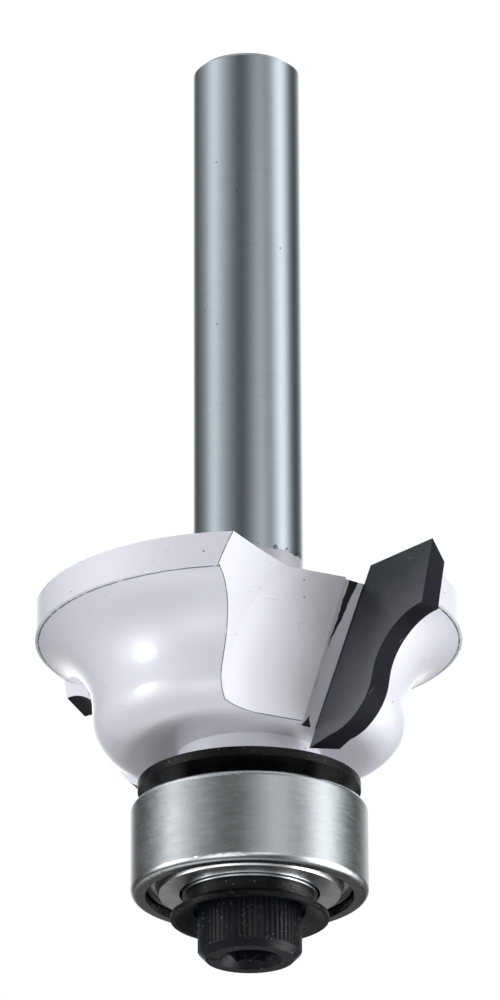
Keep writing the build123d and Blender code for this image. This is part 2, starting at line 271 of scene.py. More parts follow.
class Finish:
    """What the finishes share: a material with one Principled shader that reads Object coordinates."""

    def __init__(self, name: str, effects: Effects) -> None:
        """Makes the material and its shader.

        Args:
            name: The material's name.
            effects: The shared node groups.
        """
        self.effects = effects
        self.material = bpy.data.materials.new(name)
        self.material.use_nodes = True
        self.nodes = Nodes(self.material.node_tree)
        self.shader = self.material.node_tree.nodes["Principled BSDF"]
        coordinates = self.nodes.add("ShaderNodeTexCoord")
        self.place = coordinates.outputs["Object"]
        self.normal = coordinates.outputs["Normal"]

    @cached_property
    def height(self) -> Socket:
        """The height of a place."""
        return self.nodes.add("ShaderNodeSeparateXYZ", {"Vector": self.place}).outputs["Z"]

    @cached_property
    def level_place(self) -> Socket:
        """A place as seen from the axis, at height 0."""
        return self.nodes.vector("MULTIPLY", self.place, (1.0, 1.0, 0.0))

    @cached_property
    def radius(self) -> Socket:
        """The distance of a place from the axis."""
        return self.nodes.length(self.level_place)

    def specks(self, look: Marks) -> Socket:
        """1 on small specks, and 0 elsewhere."""
        return self.nodes.group(self.effects.specks, self.place, look.scale, look.width, look.amount)

    def scratches(self, look: Marks) -> Socket:
        """1 on thin scratches, and 0 elsewhere."""
        return self.nodes.group(self.effects.scratches, self.place, look.scale, look.width, look.amount)

    def grain(self, look: Grain) -> Socket:
        """The height of a grinding grain, from 0 to 1."""
        return self.nodes.group(self.effects.grain, self.place, look.along, look.across)

    def put(self, name: str, value: object) -> None:
        """Sets or links one input of the shader."""
        self.nodes.feed(self.shader.inputs[name], value)

    def bump(self, height: Socket, strength: float, distance: float, normal: Socket | None = None) -> None:
        """Feeds a bump into the shader's normal.

        Args:
            height: The height.
            strength: How strongly the bump shows.
            distance: How far the surface rises at height 1.
            normal: The world normal that the bump starts from, if it isn't the surface's own.
        """
        inputs = {"Height": height, "Strength": strength, "Distance": distance}
        if normal is not None:
            inputs["Normal"] = normal
        self.put("Normal", self.nodes.add("ShaderNodeBump", inputs).outputs["Normal"])

    def dress(self, *names: str) -> None:
        """Gives this finish to CAD nodes."""
        for name in names:
            for material_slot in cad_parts[name].material_slots:
                material_slot.material = self.material
            LOG.info("%s wears %s", name, self.material.name)


@dataclass(frozen=True)
class MetalLook:
    """The values of a bare or blackened metal.

    Mottle is how far the colour swings, and sparkle the share of small places that hold a speck of one
    fixed grey; on the darker metals these specks are painted glints.
    Black oxide and black lacquer aren't metallic.
    """

    colour: Colour
    roughness: float
    grain: Grain
    mottle: float
    sparkle: float = 0.02
    metallic: float = 1.0
    refraction: float = 1.5
    roughness_swing: float = 0.15
    grain_height: float = 0.01 * MM
    mottle_noise: Noise = Noise(900.0, 4.0, 0.7)
    darkest: float = 0.3
    lightest: float = 0.7
    smoothest: float = 0.25
    roughest: float = 0.75
    sparkle_scale: float = 8000.0
    sparkle_width: float = 0.23
    sparkle_share: float = 0.3
    sparkle_colour: Colour = (0.5, 0.52, 0.55)


class MetalFinish(Finish):
    """A metal with grinding grain, slight mottling and a few specks of one grey, which are painted glints
    on the darker metals.
    """

    def __init__(self, name: str, look: MetalLook, effects: Effects) -> None:
        """Builds the material.

        Args:
            name: The material's name.
            look: Its values.
            effects: The shared node groups.
        """
        super().__init__(name, effects)
        nodes = self.nodes
        grain = self.grain(look.grain)
        mottle = nodes.noise(self.place, look.mottle_noise)
        level = nodes.product(nodes.math("ADD", grain, mottle), 0.5)
        dark, light = opaque(look.colour, 1.0 - look.mottle), opaque(look.colour, 1.0 + look.mottle)
        colour = nodes.mix(nodes.band(level, look.darkest, look.lightest), dark, light)
        # Painted glints: specks of one fixed grey, bright on the black washers, the screw and the snap
        # wires.
        sparkles = self.specks(Marks(look.sparkle_scale, look.sparkle_width, look.sparkle))
        colour = nodes.mix(nodes.product(sparkles, look.sparkle_share), colour, opaque(look.sparkle_colour))
        smooth = look.roughness * (1.0 - look.roughness_swing)
        rough = look.roughness * (1.0 + look.roughness_swing)
        self.put("Base Color", self.shaded(colour))
        self.put("Metallic", look.metallic)
        self.put("Roughness", nodes.band(level, look.smoothest, look.roughest, smooth, rough))
        self.put("IOR", look.refraction)
        self.bump(grain, look.grain.depth, look.grain_height)

    def shaded(self, colour: Socket) -> Socket:
        """The colour as it is. A kind of finish may darken parts of it."""
        return colour


class RaceFinish(MetalFinish):
    """Ground bearing steel with painted shade on the faces that look down or in towards the axis."""

    up: Vector = Vector((0.0, 0.0, 1.0))
    # Painted shade: the faces that look down, and those that look in towards the axis, get these darker
    # colours.
    underside_shade: Colour = (0.08, 0.085, 0.09)
    underside_shade_share: float = 0.6
    under_start: float = -0.85
    under_end: float = -0.97
    recess_shade: Colour = (0.02, 0.02, 0.02)
    recess_shade_share: float = 0.95
    recess_start: float = -0.2
    recess_end: float = -0.6

    def shaded(self, colour: Socket) -> Socket:
        """Paints shade on the faces that look down or in towards the axis."""
        nodes = self.nodes
        out = nodes.dot(self.normal, nodes.vector("NORMALIZE", self.level_place))
        inner = nodes.band(out, self.recess_start, self.recess_end)
        under = nodes.band(nodes.dot(self.normal, self.up), self.under_start, self.under_end)
        # Painted shade: darker colour on the downward faces, then on the inward faces.
        colour = nodes.mix(nodes.product(under, self.underside_shade_share), colour, opaque(self.underside_shade))
        return nodes.mix(nodes.product(inner, self.recess_shade_share), colour, opaque(self.recess_shade))


# --------------------------------------------------
# The cutter: a painted steel body and its two carbide tips
# --------------------------------------------------


@dataclass(frozen=True)
class TipPlaces:
    """Where a carbide tip, its pocket and its gullet lie. The second tip is half a turn on.

    The lip is the line where a gullet's floor ends in front of the tip. The gullet was sunk by an angle
    cutter whose flat end lies on the floor.
    """

    azimuth: float = 40.0
    shear: float = 14.4
    setback: float = 2.78 * MM
    lead: float = 1.27 * MM
    lip_top: Vector = Vector((5.3235 * MM, -4.9413 * MM, 19.7978 * MM))
    lip_bottom: Vector = Vector((2.9461 * MM, -5.4632 * MM, 11.398 * MM))
    floor_angle: float = 27.0
    floor_width: float = 5.15 * MM
    side_angle: float = 39.6
    cutter_radius: float = 10.0 * MM
    cutter_height: float = 2.13 * MM

    @property
    def outward(self) -> Vector:
        """The level way out from the axis through the tip."""
        return level_direction(self.azimuth - 90.0)

    @property
    def forward(self) -> Vector:
        """The way the rake face looks."""
        lean = math.radians(self.shear)
        level = -level_direction(self.azimuth) * math.cos(lean)
        return Vector((level.x, level.y, math.sin(lean)))

    @property
    def down_lip(self) -> Vector:
        """The way a gullet runs down the body."""
        return (self.lip_bottom - self.lip_top).normalized()

    @property
    def out_of_floor(self) -> Vector:
        """The way the gullet's floor looks."""
        return self.down_lip.cross(level_direction(self.floor_angle)).normalized()

    @property
    def cutter_middle(self) -> Vector:
        """The middle of the angle cutter's flat end."""
        down = self.down_lip
        rise = (self.lip_top.z - self.lip_bottom.z - self.cutter_height) / -down.z
        across = down.cross(self.out_of_floor)
        return self.lip_top + down * rise - across * (self.cutter_radius - self.floor_width)


class TipMap:
    """Where a place lies about the nearer tip, with the second tip's half turned onto the first tip's."""

    def __init__(self, finish: Finish, tip: TipPlaces) -> None:
        """Turns the second half onto the first.

        Args:
            finish: The finish that reads the map.
            tip: Where the first tip lies.
        """
        nodes = finish.nodes
        self.nodes = nodes
        self.tip = tip
        side = nodes.math("SIGN", nodes.dot(finish.place, tip.outward))
        self.turn = nodes.add("ShaderNodeCombineXYZ", {"X": side, "Y": side, "Z": 1.0}).outputs[0]
        self.place = nodes.vector("MULTIPLY", finish.place, self.turn)
        self.normal = nodes.vector("MULTIPLY", finish.normal, self.turn)


class GulletMap(TipMap):
    """A tip map that also knows the angle cutter that sank the gullet.

    Reach is a place's distance from the cutter's axis, rise its height over the cutter's flat end, and
    ahead its distance in front of the pocket's face. Inside is 1 on the faces that the cutter left.
    """

    skin: float = 0.05 * MM
    lead_share: float = 0.97

    def __init__(self, finish: Finish, tip: TipPlaces) -> None:
        """Adds the angle cutter to the map.

        Args:
            finish: The finish that reads the map.
            tip: Where the first tip and its gullet lie.
        """
        super().__init__(finish, tip)
        nodes = self.nodes
        self.ahead = nodes.dot(nodes.vector("SUBTRACT", self.place, tip.forward * tip.setback), tip.forward)
        out = tip.out_of_floor
        offset = nodes.vector("SUBTRACT", self.place, tip.cutter_middle)
        self.rise = nodes.dot(offset, out)
        radial = nodes.vector("SUBTRACT", offset, nodes.scaled(out, self.rise))
        self.reach = nodes.length(radial)
        self.from_axis = nodes.vector("NORMALIZE", radial)
        past = nodes.math("MAXIMUM", nodes.math("SUBTRACT", self.reach, tip.cutter_radius), 0.0)
        wall = nodes.product(past, math.tan(math.radians(tip.side_angle)))
        on_cut = nodes.within(self.rise, wall, self.skin)
        self.inside = nodes.product(on_cut, nodes.greater(self.ahead, tip.lead * self.lead_share))

    def cut_gap(self, blend: float) -> Socket:
        """How far a place is from the nearer face of the cutter, with the corner eased over a blend."""
        nodes, side = self.nodes, math.radians(self.tip.side_angle)
        past = nodes.product(nodes.math("SUBTRACT", self.reach, self.tip.cutter_radius), math.sin(side))
        wall = nodes.math("SUBTRACT", nodes.product(self.rise, math.cos(side)), past)
        return nodes.math("SMOOTH_MIN", self.rise, wall, blend)


@dataclass(frozen=True)
class PaintLook:
    """The glossy paint, darker at the shank's root, and with painted shade in a gullet near its tip."""

    colour: Colour = (0.74, 0.75, 0.82)
    roughness: float = 0.4
    coat_roughness: float = 0.09
    cloud: Noise = Noise(180.0, 3.0, 0.55)
    cloud_shade: float = 0.96
    ripple: Noise = Noise(260.0)
    bump_strength: float = 0.35
    bump_height: float = 0.02 * MM
    root_start: float = 20.6 * MM
    root_end: float = 22.4 * MM
    root_shade: float = 0.62
    # Painted shade in a gullet: darkest next to the tip, fading out further ahead.
    gullet_shade_fade: float = 4.6 * MM
    gullet_painted_shade: float = 0.68
    corner_fill: float = 2.2 * MM


@dataclass(frozen=True)
class SteelLook:
    """The bare ground steel of the shank and the pilot, and the ragged line where the paint ends."""

    colour: Colour = (0.505, 0.572, 0.625)
    shade: float = 0.9
    roughness: float = 0.2
    grain: Grain = Grain(500.0, 9000.0, 0.05)
    pilot_top: float = 9.84 * MM
    pilot_radius: float = 2.45 * MM
    line_height: float = 23.0 * MM
    line_blend: float = 0.02 * MM
    ragged: Noise = Noise(1500.0, 4.0, 0.7)
    ragged_reach: float = 0.5 * MM
    patches: Noise = Noise(420.0)
    patch_reach: float = 0.7 * MM
    flakes: Noise = Noise(3200.0, 3.0, 0.7)
    flake_level: float = 0.55
    flake_middle: float = 0.12 * MM
    flake_reach: float = 0.16 * MM
    flake_share: float = 0.85
    speck_share: float = 0.6


@dataclass(frozen=True)
class WearLook:
    """Dark specks, thin scratches, and the lines where the paint is rubbed off an edge."""

    dark: Colour = (0.015, 0.015, 0.012)
    worn: Colour = (0.1, 0.145, 0.155)
    specks: Marks = Marks(1700.0, 0.075, 0.14)
    speck_share: float = 0.75
    scratches: Marks = Marks(420.0, 0.006, 0.35)
    scratch_share: float = 0.3
    scratch_depth: float = 0.15
    breaks: Noise = Noise(1900.0, 3.0, 0.6)
    break_start: float = 0.34
    break_end: float = 0.46
    broken_share: float = 0.2
    rim_radius: float = 11.4 * MM
    rim_top: float = 18.0 * MM
    rim_bottom: float = 17.0 * MM
    rim_width: float = 0.045 * MM
    rim_wobble: Noise = Noise(2600.0, 3.0)
    edge_width: float = 0.0495 * MM
    edge_blend: float = 0.05 * MM
    edge_start: float = 1.524 * MM
    outside_facing: float = 0.05
    outside_level: float = 0.6
    body_bottom: float = 11.398 * MM


@dataclass(frozen=True)
class BrazeLook:
    """Braze on the strip of steel in front of a tip, a mark and a thin seam, and a dark spot at the strip's
    foot.
    """

    roughness: float = 0.25
    ragged: Noise = Noise(900.0, 3.0)
    ragged_reach: float = 0.35 * MM
    mark_bottom: float = 15.4 * MM
    mark_top: float = 20.2 * MM
    mark_ahead_at_top: float = 0.72 * MM
    mark_ahead_at_bottom: float = 0.92 * MM
    mark_half_width: float = 0.28 * MM
    seam_half_width: float = 0.05 * MM
    spot_bottom: float = 11.3 * MM
    spot_top: float = 12.2 * MM
    spot_behind_lip: float = 0.62 * MM
    spot_half_width: float = 0.3 * MM
    strip_facing: float = 0.6
    strip_radius: float = 4.2 * MM
    strip_bottom: float = 11.478 * MM


@dataclass(frozen=True)
class BodyLook:
    """All that the body's finish shows."""

    paint: PaintLook = PaintLook()
    steel: SteelLook = SteelLook()
    wear: WearLook = WearLook()
    braze: BrazeLook = BrazeLook()


class BodyFinish(Finish):
    """Glossy pale paint with specks and worn edges, and bare ground steel on the shank and the pilot."""

    def __init__(self, effects: Effects, look: BodyLook, tip: TipPlaces) -> None:
        """Builds the material.

        Args:
            effects: The shared node groups.
            look: The body's colours and levels.
            tip: Where the tips and gullets lie.
        """
        super().__init__("gloss_paint_over_steel", effects)
        self.look = look
        self.gullet = GulletMap(self, tip)
        self.bare, self.flaked = self.bare_steel(look.steel)
        self.worn = self.worn_lines(look.wear)
        self.brazed = self.braze_marks(look.braze)
        self.specked = self.specks(look.wear.specks)
        self.scratched = self.scratches(look.wear.scratches)
        self.ground = self.grain(look.steel.grain)
        self.put("Base Color", self.colour())
        self.surface()

    def bare_steel(self, look: SteelLook) -> tuple[Socket, Socket]:
        """Bare steel on the shank, above the ragged line where the paint ends, and on the pilot.

        Args:
            look: The steel's values.

        Returns:
            The share of bare steel, and the dark flakes along the paint's line.
        """
        nodes = self.nodes
        ragged = nodes.product(nodes.noise(self.place, look.ragged), look.ragged_reach)
        patches = nodes.product(nodes.noise(self.place, look.patches), look.patch_reach)
        raised = nodes.math("ADD", self.height, nodes.math("ADD", ragged, patches))
        above = nodes.math("SUBTRACT", raised, look.line_height)
        shank = nodes.band(above, -look.line_blend, look.line_blend)
        thin = nodes.less(self.radius, look.pilot_radius)
        pilot = nodes.product(nodes.less(self.height, look.pilot_top), thin)
        dots = nodes.greater(nodes.noise(self.place, look.flakes), look.flake_level)
        flaked = nodes.product(nodes.within(above, look.flake_middle, look.flake_reach), dots)
        return nodes.math("MAXIMUM", shank, pilot), flaked

    def worn_lines(self, look: WearLook) -> Socket:
        """Thin dark lines where the paint is rubbed off the rim's lower edge and the gullets' edges."""
        nodes = self.nodes
        ragged = nodes.math("ADD", self.radius, nodes.wobble(self.place, look.rim_wobble, look.rim_width))
        near = nodes.within(ragged, look.rim_radius, look.rim_width)
        low, high = nodes.less(self.height, look.rim_top), nodes.greater(self.height, look.rim_bottom)
        lines = nodes.math("MAXIMUM", self.gullet_edge(look), nodes.product(near, low, high))
        breaks = nodes.noise(self.place, look.breaks)
        return nodes.product(lines, nodes.band(breaks, look.break_start, look.break_end, look.broken_share))

    def gullet_edge(self, look: WearLook) -> Socket:
        """A thin line along the edge that the angle cutter left, and along the gullet's foot."""
        nodes, gullet = self.nodes, self.gullet
        near = nodes.within(gullet.cut_gap(look.edge_blend), 0.0, look.edge_width)
        facing = nodes.greater(nodes.dot(gullet.normal, gullet.from_axis), look.outside_facing)
        turned = nodes.less(nodes.dot(gullet.normal, gullet.tip.out_of_floor), look.outside_level)
        outside = nodes.math("MAXIMUM", facing, turned)
        edge = nodes.product(near, outside, nodes.greater(gullet.ahead, look.edge_start))
        foot = nodes.product(nodes.less(self.height, look.body_bottom + look.edge_width), gullet.inside)
        return nodes.math("MAXIMUM", edge, foot)

    def braze_marks(self, look: BrazeLook) -> Socket:
        """The share of braze marks, and of the dark spot at the strip's foot, on the strip in front of each
        tip.
        """
        nodes, gullet = self.nodes, self.gullet
        ragged = nodes.math("ADD", gullet.ahead, nodes.wobble(self.place, look.ragged, look.ragged_reach))
        share = nodes.band(self.height, look.mark_bottom, look.mark_top)
        lean = look.mark_ahead_at_top - look.mark_ahead_at_bottom
        middle = nodes.math("MULTIPLY_ADD", share, lean, look.mark_ahead_at_bottom)
        mark = nodes.within(ragged, middle, nodes.product(share, look.mark_half_width))
        seam = nodes.within(gullet.ahead, 0.0, look.seam_half_width)
        foot = nodes.band(self.height, look.spot_top, look.spot_bottom)
        spot_middle = gullet.tip.lead - look.spot_behind_lip
        spot = nodes.within(ragged, spot_middle, nodes.product(foot, look.spot_half_width))
        marks = nodes.math("MAXIMUM", nodes.math("MAXIMUM", mark, seam), spot)
        on_strip = nodes.product(
            nodes.greater(nodes.dot(gullet.normal, gullet.tip.outward), look.strip_facing),
            nodes.greater(self.radius, look.strip_radius),
            nodes.greater(self.height, look.strip_bottom),
            nodes.less(gullet.ahead, gullet.tip.lead),
        )
        return nodes.product(marks, on_strip)

    def paint_colour(self) -> Socket:
        """The paint, darker near the shank, with painted shade in a gullet near the tips, and with its
        specks, scratches and worn lines.
        """
        nodes, look, wear, lead = self.nodes, self.look.paint, self.look.wear, self.gullet.tip.lead
        cloud = nodes.noise(self.place, look.cloud)
        paint = nodes.mix(cloud, opaque(look.colour, look.cloud_shade), opaque(look.colour))
        root = nodes.band(self.height, look.root_start, look.root_end)
        paint = nodes.mix(root, paint, opaque(look.colour, look.root_shade))
        # Painted shade in the gullet, darkest next to the tip, where the tip blocks the light.
        near_tip = nodes.band(self.gullet.ahead, lead, lead + look.gullet_shade_fade, 1.0, 0.0)
        thin = nodes.product(near_tip, self.gullet.inside)
        paint = nodes.mix(thin, paint, opaque(look.colour, look.gullet_painted_shade))
        paint = nodes.mix(nodes.product(self.specked, wear.speck_share), paint, opaque(wear.dark))
        paint = nodes.mix(nodes.product(self.scratched, wear.scratch_share), paint, opaque(wear.worn))
        return nodes.mix(self.worn, paint, opaque(wear.worn))

    def colour(self) -> Socket:
        """The base colour: paint or bare steel, with flakes where they meet, and braze on top."""
        nodes, look, wear = self.nodes, self.look.steel, self.look.wear
        steel = nodes.mix(self.ground, opaque(look.colour, look.shade), opaque(look.colour))
        steel = nodes.mix(nodes.product(self.specked, look.speck_share), steel, opaque(wear.dark))
        both = nodes.mix(self.bare, self.paint_colour(), steel)
        both = nodes.mix(nodes.product(self.flaked, look.flake_share), both, opaque(wear.worn))
        return nodes.mix(self.brazed, both, opaque(wear.dark))

    def surface(self) -> None:
        """Sets metal, gloss and bump from the masks."""
        nodes, paint, steel, wear = self.nodes, self.look.paint, self.look.steel, self.look.wear
        painted = nodes.inverse(self.bare)
        smoother = steel.roughness - paint.roughness
        roughness = nodes.math("MULTIPLY_ADD", self.bare, smoother, paint.roughness)
        rougher = nodes.product(self.brazed, self.look.braze.roughness)
        self.put("Metallic", self.bare)
        self.put("Roughness", nodes.math("ADD", roughness, rougher))
        self.put("Coat Weight", nodes.product(painted, nodes.inverse(self.brazed)))
        self.put("Coat Roughness", paint.coat_roughness)
        ripple = nodes.product(nodes.noise(self.place, paint.ripple), painted)
        ground = nodes.product(self.ground, self.bare, steel.grain.depth)
        scratched = nodes.product(self.scratched, wear.scratch_depth)
        height = nodes.math("SUBTRACT", nodes.math("ADD", ripple, ground), scratched)
        self.bump(height, paint.bump_strength, paint.bump_height, self.eased_normal(paint.corner_fill))

    def eased_normal(self, fill: float) -> Socket:
        """The world normal, turned gradually from a gullet's floor to its side, as paint fills the corner.

        Args:
            fill: How far to each side of the corner the paint reaches.

        Returns:
            The normal.
        """
        nodes, gullet = self.nodes, self.gullet
        corner = gullet.tip.cutter_radius
        turned = nodes.band(gullet.reach, corner - fill, corner + fill)
        angle = nodes.product(turned, math.radians(gullet.tip.side_angle))
        upright = nodes.scaled(gullet.tip.out_of_floor, nodes.math("COSINE", angle))
        lean = nodes.scaled(gullet.from_axis, nodes.math("SINE", angle))
        eased = nodes.vector("MULTIPLY", nodes.vector("SUBTRACT", upright, lean), gullet.turn)
        inputs = {0: gullet.inside, 4: self.normal, 5: eased}
        chosen = nodes.add("ShaderNodeMix", inputs, data_type="VECTOR").outputs[1]
        settings = {"vector_type": "NORMAL", "convert_from": "OBJECT", "convert_to": "WORLD"}
        world = nodes.add("ShaderNodeVectorTransform", {"Vector": chosen}, **settings).outputs[0]
        return nodes.vector("NORMALIZE", world)


@dataclass(frozen=True)
class CarbideLook:
    """Colours and levels of the carbide tips."""

    # The rake face is lighter than the sides and lightest towards its bottom: partly its ground finish,
    # partly painted reflection.
    rake_top: Colour = (0.006, 0.011, 0.015)
    rake_bottom: Colour = (0.13, 0.128, 0.142)
    flank: Colour = (0.005, 0.006, 0.01)
    chips: Colour = (0.45, 0.47, 0.5)
    paint: Colour = (0.74, 0.75, 0.82)
    top: float = 20.5 * MM
    bottom: float = 12.0 * MM
    cloud: Noise = Noise(700.0, 3.0, 0.6)
    cloud_reach: float = 0.4
    rake_facing: float = 0.9
    back_facing: float = -0.6
    pits: Marks = Marks(3200.0, 0.07, 0.06)
    nicks: Marks = Marks(900.0, 0.007, 0.3)
    chip_share: float = 0.35
    flank_roughness: float = 0.5
    rake_roughness: float = 0.35
    flank_gloss: float = 0.12
    rake_gloss: float = 0.32
    grain: Grain = Grain(5200.0, 2200.0, 0.25)
    grain_height: float = 0.006 * MM


class CarbideFinish(Finish):
    """Carbide with a satin ground rake face, darker sides, tiny pits and nicks, and a painted back. The
    rake's lighter colour, lightest towards its bottom, is partly its ground finish and partly painted
    reflection.
    """

    def __init__(self, effects: Effects, look: CarbideLook, tip: TipPlaces) -> None:
        """Builds the material.

        Args:
            effects: The shared node groups.
            look: The tips' colours and levels.
            tip: Where the tips lie.
        """
        super().__init__("ground_carbide", effects)
        nodes = self.nodes
        facing = nodes.dot(TipMap(self, tip).normal, tip.forward)
        rake = nodes.greater(facing, look.rake_facing)
        # Rake colour by height, lighter lower down: partly painted reflection.
        share = nodes.band(self.height, look.bottom, look.top)
        share = nodes.math("ADD", share, nodes.wobble(self.place, look.cloud, look.cloud_reach))
        ground = nodes.mix(share, opaque(look.rake_bottom), opaque(look.rake_top))
        colour = nodes.mix(rake, opaque(look.flank), ground)
        marks = nodes.math("MAXIMUM", self.specks(look.pits), self.scratches(look.nicks))
        colour = nodes.mix(nodes.product(marks, look.chip_share), colour, opaque(look.chips))
        back = nodes.less(facing, look.back_facing)
        smoother = look.rake_roughness - look.flank_roughness
        glossier = look.rake_gloss - look.flank_gloss
        self.put("Base Color", nodes.mix(back, colour, opaque(look.paint)))
        self.put("Roughness", nodes.math("MULTIPLY_ADD", rake, smoother, look.flank_roughness))
        self.put("Specular IOR Level", nodes.math("MULTIPLY_ADD", rake, glossier, look.flank_gloss))
        self.bump(self.grain(look.grain), look.grain.depth, look.grain_height)


@dataclass(frozen=True)
class Cutter:
    """The painted body with its two carbide tips."""

    tip: TipPlaces = TipPlaces()
    body: BodyLook = BodyLook()
    carbide: CarbideLook = CarbideLook()

    def dress(self, effects: Effects) -> None:
        """Gives the body and the tips their finishes."""
        BodyFinish(effects, self.body, self.tip).dress("cutter_body")
        CarbideFinish(effects, self.carbide, self.tip).dress("carbide_tip_1", "carbide_tip_2")


# --------------------------------------------------
# The guide bearing
# --------------------------------------------------


@dataclass(frozen=True)
class GuideBearing:
    """The shielded ball bearing: its rings, shields, cage, snap wires and balls."""

    ring: MetalLook = MetalLook(
        colour=(0.52, 0.555, 0.575), roughness=0.27, grain=Grain(900.0, 5200.0, 0.05), mottle=0.04,
        sparkle=0.03,
    )
    shield: MetalLook = MetalLook(
        colour=(0.85, 0.86, 0.87), roughness=0.3, grain=Grain(2000.0, 2000.0, 0.05), mottle=0.05,
        sparkle=0.01,
    )
    wire: MetalLook = MetalLook(
        colour=(0.16, 0.16, 0.165), roughness=0.3, grain=Grain(2000.0, 2000.0, 0.2), mottle=0.1,
    )
    ball: MetalLook = MetalLook(
        colour=(0.8, 0.8, 0.8), roughness=0.08, grain=Grain(2000.0, 2000.0, 0.05), mottle=0.02,
    )

    def dress(self, effects: Effects) -> None:
        """Gives each piece of the bearing its finish."""
        rings = ("bearing_outer_ring", "bearing_inner_ring")
        RaceFinish("bearing_rings", self.ring, effects).dress(*rings)
        pressed = ("shield_lower", "shield_upper", "cage_half_lower", "cage_half_upper")
        MetalFinish("bearing_shields", self.shield, effects).dress(*pressed)
        MetalFinish("spring_wire", self.wire, effects).dress("snap_wire_lower", "snap_wire_upper")
        balls = [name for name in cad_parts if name.startswith("ball_")]
        MetalFinish("polished_balls", self.ball, effects).dress(*balls)


# --------------------------------------------------
# The cap screw with its knurl, and the two washers
# --------------------------------------------------


@dataclass(frozen=True)
class StraightKnurl:
    """The knurl round the cap screw's head: upright ridges with a diamond section."""

    ridges: int = 60
    ridge_radius: float = 0.1 * MM
    circle_radius: float = 2.67 * MM
    bottom: float = 0.42 * MM
    top: float = 2.92 * MM

    @property
    def sizes(self) -> dict[str, float | int]:
        """The tree's inputs by name."""
        return {
            "Circle Radius": self.circle_radius,
            "Ridge Radius": self.ridge_radius,
            "Bottom": self.bottom,
            "Top": self.top,
            "Ridges": self.ridges,
        }

    def tree(self, material: bpy.types.Material) -> bpy.types.NodeTree:
        """Builds the Geometry Nodes tree: ridges on a raised circle, made real.

        Args:
            material: What the ridges wear.

        Returns:
            The tree.
        """
        tree = bpy.data.node_groups.new("straight_knurl", "GeometryNodeTree")
        for label, size in self.sizes.items():
            kind = "NodeSocketInt" if isinstance(size, int) else "NodeSocketFloat"
            tree.interface.new_socket(label, in_out="INPUT", socket_type=kind)
        tree.interface.new_socket("Geometry", in_out="OUTPUT", socket_type="NodeSocketGeometry")
        nodes = Nodes(tree)
        source = nodes.add("NodeGroupInput").outputs
        circle_inputs = {"Vertices": source["Ridges"], "Radius": source["Circle Radius"]}
        circle = nodes.add("GeometryNodeMeshCircle", circle_inputs).outputs["Mesh"]
        middle = nodes.product(nodes.math("ADD", source["Top"], source["Bottom"]), 0.5)
        lift = nodes.add("ShaderNodeCombineXYZ", {"Z": middle}).outputs[0]
        raised_inputs = {"Geometry": circle, "Offset": lift}
        raised = nodes.add("GeometryNodeSetPosition", raised_inputs).outputs["Geometry"]
        height = nodes.math("SUBTRACT", source["Top"], source["Bottom"])
        ridge_inputs = {"Vertices": 4, "Radius": source["Ridge Radius"], "Depth": height}
        ridge = nodes.add("GeometryNodeMeshCylinder", ridge_inputs, fill_type="NGON").outputs["Mesh"]
        index = nodes.add("GeometryNodeInputIndex").outputs[0]
        turn = nodes.math("DIVIDE", nodes.product(index, math.tau), source["Ridges"])
        rotation = nodes.add("ShaderNodeCombineXYZ", {"Z": turn}).outputs[0]
        placed_inputs = {"Points": raised, "Instance": ridge, "Rotation": rotation}
        placed = nodes.add("GeometryNodeInstanceOnPoints", placed_inputs).outputs["Instances"]
        real = nodes.add("GeometryNodeRealizeInstances", {"Geometry": placed}).outputs["Geometry"]
        dressed_inputs = {"Geometry": real, "Material": material}
        dressed = nodes.add("GeometryNodeSetMaterial", dressed_inputs).outputs["Geometry"]
        nodes.feed(nodes.add("NodeGroupOutput").inputs["Geometry"], dressed)
        return tree

    def build(self, material: bpy.types.Material) -> bpy.types.Object:
        """Makes the knurl as one plain mesh that rides on the cutter.

        Args:
            material: What the ridges wear.

        Returns:
            The new piece.
        """
        holder = bpy.data.objects.new("knurl_source", bpy.data.meshes.new("knurl_source"))
        bpy.context.collection.objects.link(holder)
        modifier = holder.modifiers.new("knurl", "NODES")
        modifier.node_group = self.tree(material)
        for item in modifier.node_group.interface.items_tree:
            if item.in_out == "INPUT":
                modifier[item.identifier] = self.sizes[item.name]
        evaluated = holder.evaluated_get(bpy.context.evaluated_depsgraph_get())
        mesh = bpy.data.meshes.new_from_object(evaluated)
        mesh.name = "screw_knurl"
        holder.modifiers.remove(modifier)
        bpy.data.objects.remove(holder)
        piece = bpy.data.objects.new("screw_knurl", mesh)
        bpy.context.collection.objects.link(piece)
        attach(piece, "cutter")
        LOG.info("%s has %d ridges", piece.name, self.ridges)
        return piece


@dataclass(frozen=True)
class ScrewAndWashers:
    """The black washers over and under the bearing, and the cap screw that holds them."""

    washer: MetalLook = MetalLook(
        colour=(0.002, 0.002, 0.003), roughness=0.36, grain=Grain(4500.0, 4500.0, 0.6), mottle=0.3,
        sparkle=0.16, metallic=0.0, refraction=1.3,
    )
    screw: MetalLook = MetalLook(
        colour=(0.006, 0.008, 0.0115), roughness=0.34, grain=Grain(4500.0, 4500.0, 0.45), mottle=0.3,
        sparkle=0.12, metallic=0.0, refraction=1.34,
    )
    knurl: StraightKnurl = StraightKnurl()

    def build(self, effects: Effects) -> None:
        """Gives the washers and the screw their finishes, and adds the knurl."""
        MetalFinish("black_washer", self.washer, effects).dress("dust_washer", "cup_washer")
        screw_finish = MetalFinish("black_screw", self.screw, effects)
        screw_finish.dress("cap_screw")
        self.knurl.build(screw_finish.material)


# --------------------------------------------------
# Studio
# --------------------------------------------------


@dataclass(frozen=True)
class SoftLamp:
    """A soft round light far away in the studio. A bearing runs from -Y towards +X, as seen from above."""

    bearing: float
    elevation: float
    strength: float
    sharpness: float = 20.0

    @property
    def direction(self) -> Vector:
        """The way to the lamp from the part."""
        turned = math.radians(self.bearing)
        raised = math.radians(self.elevation)
        level = Vector((math.sin(turned), -math.cos(turned), 0.0)) * math.cos(raised)
        return Vector((level.x, level.y, math.sin(raised)))


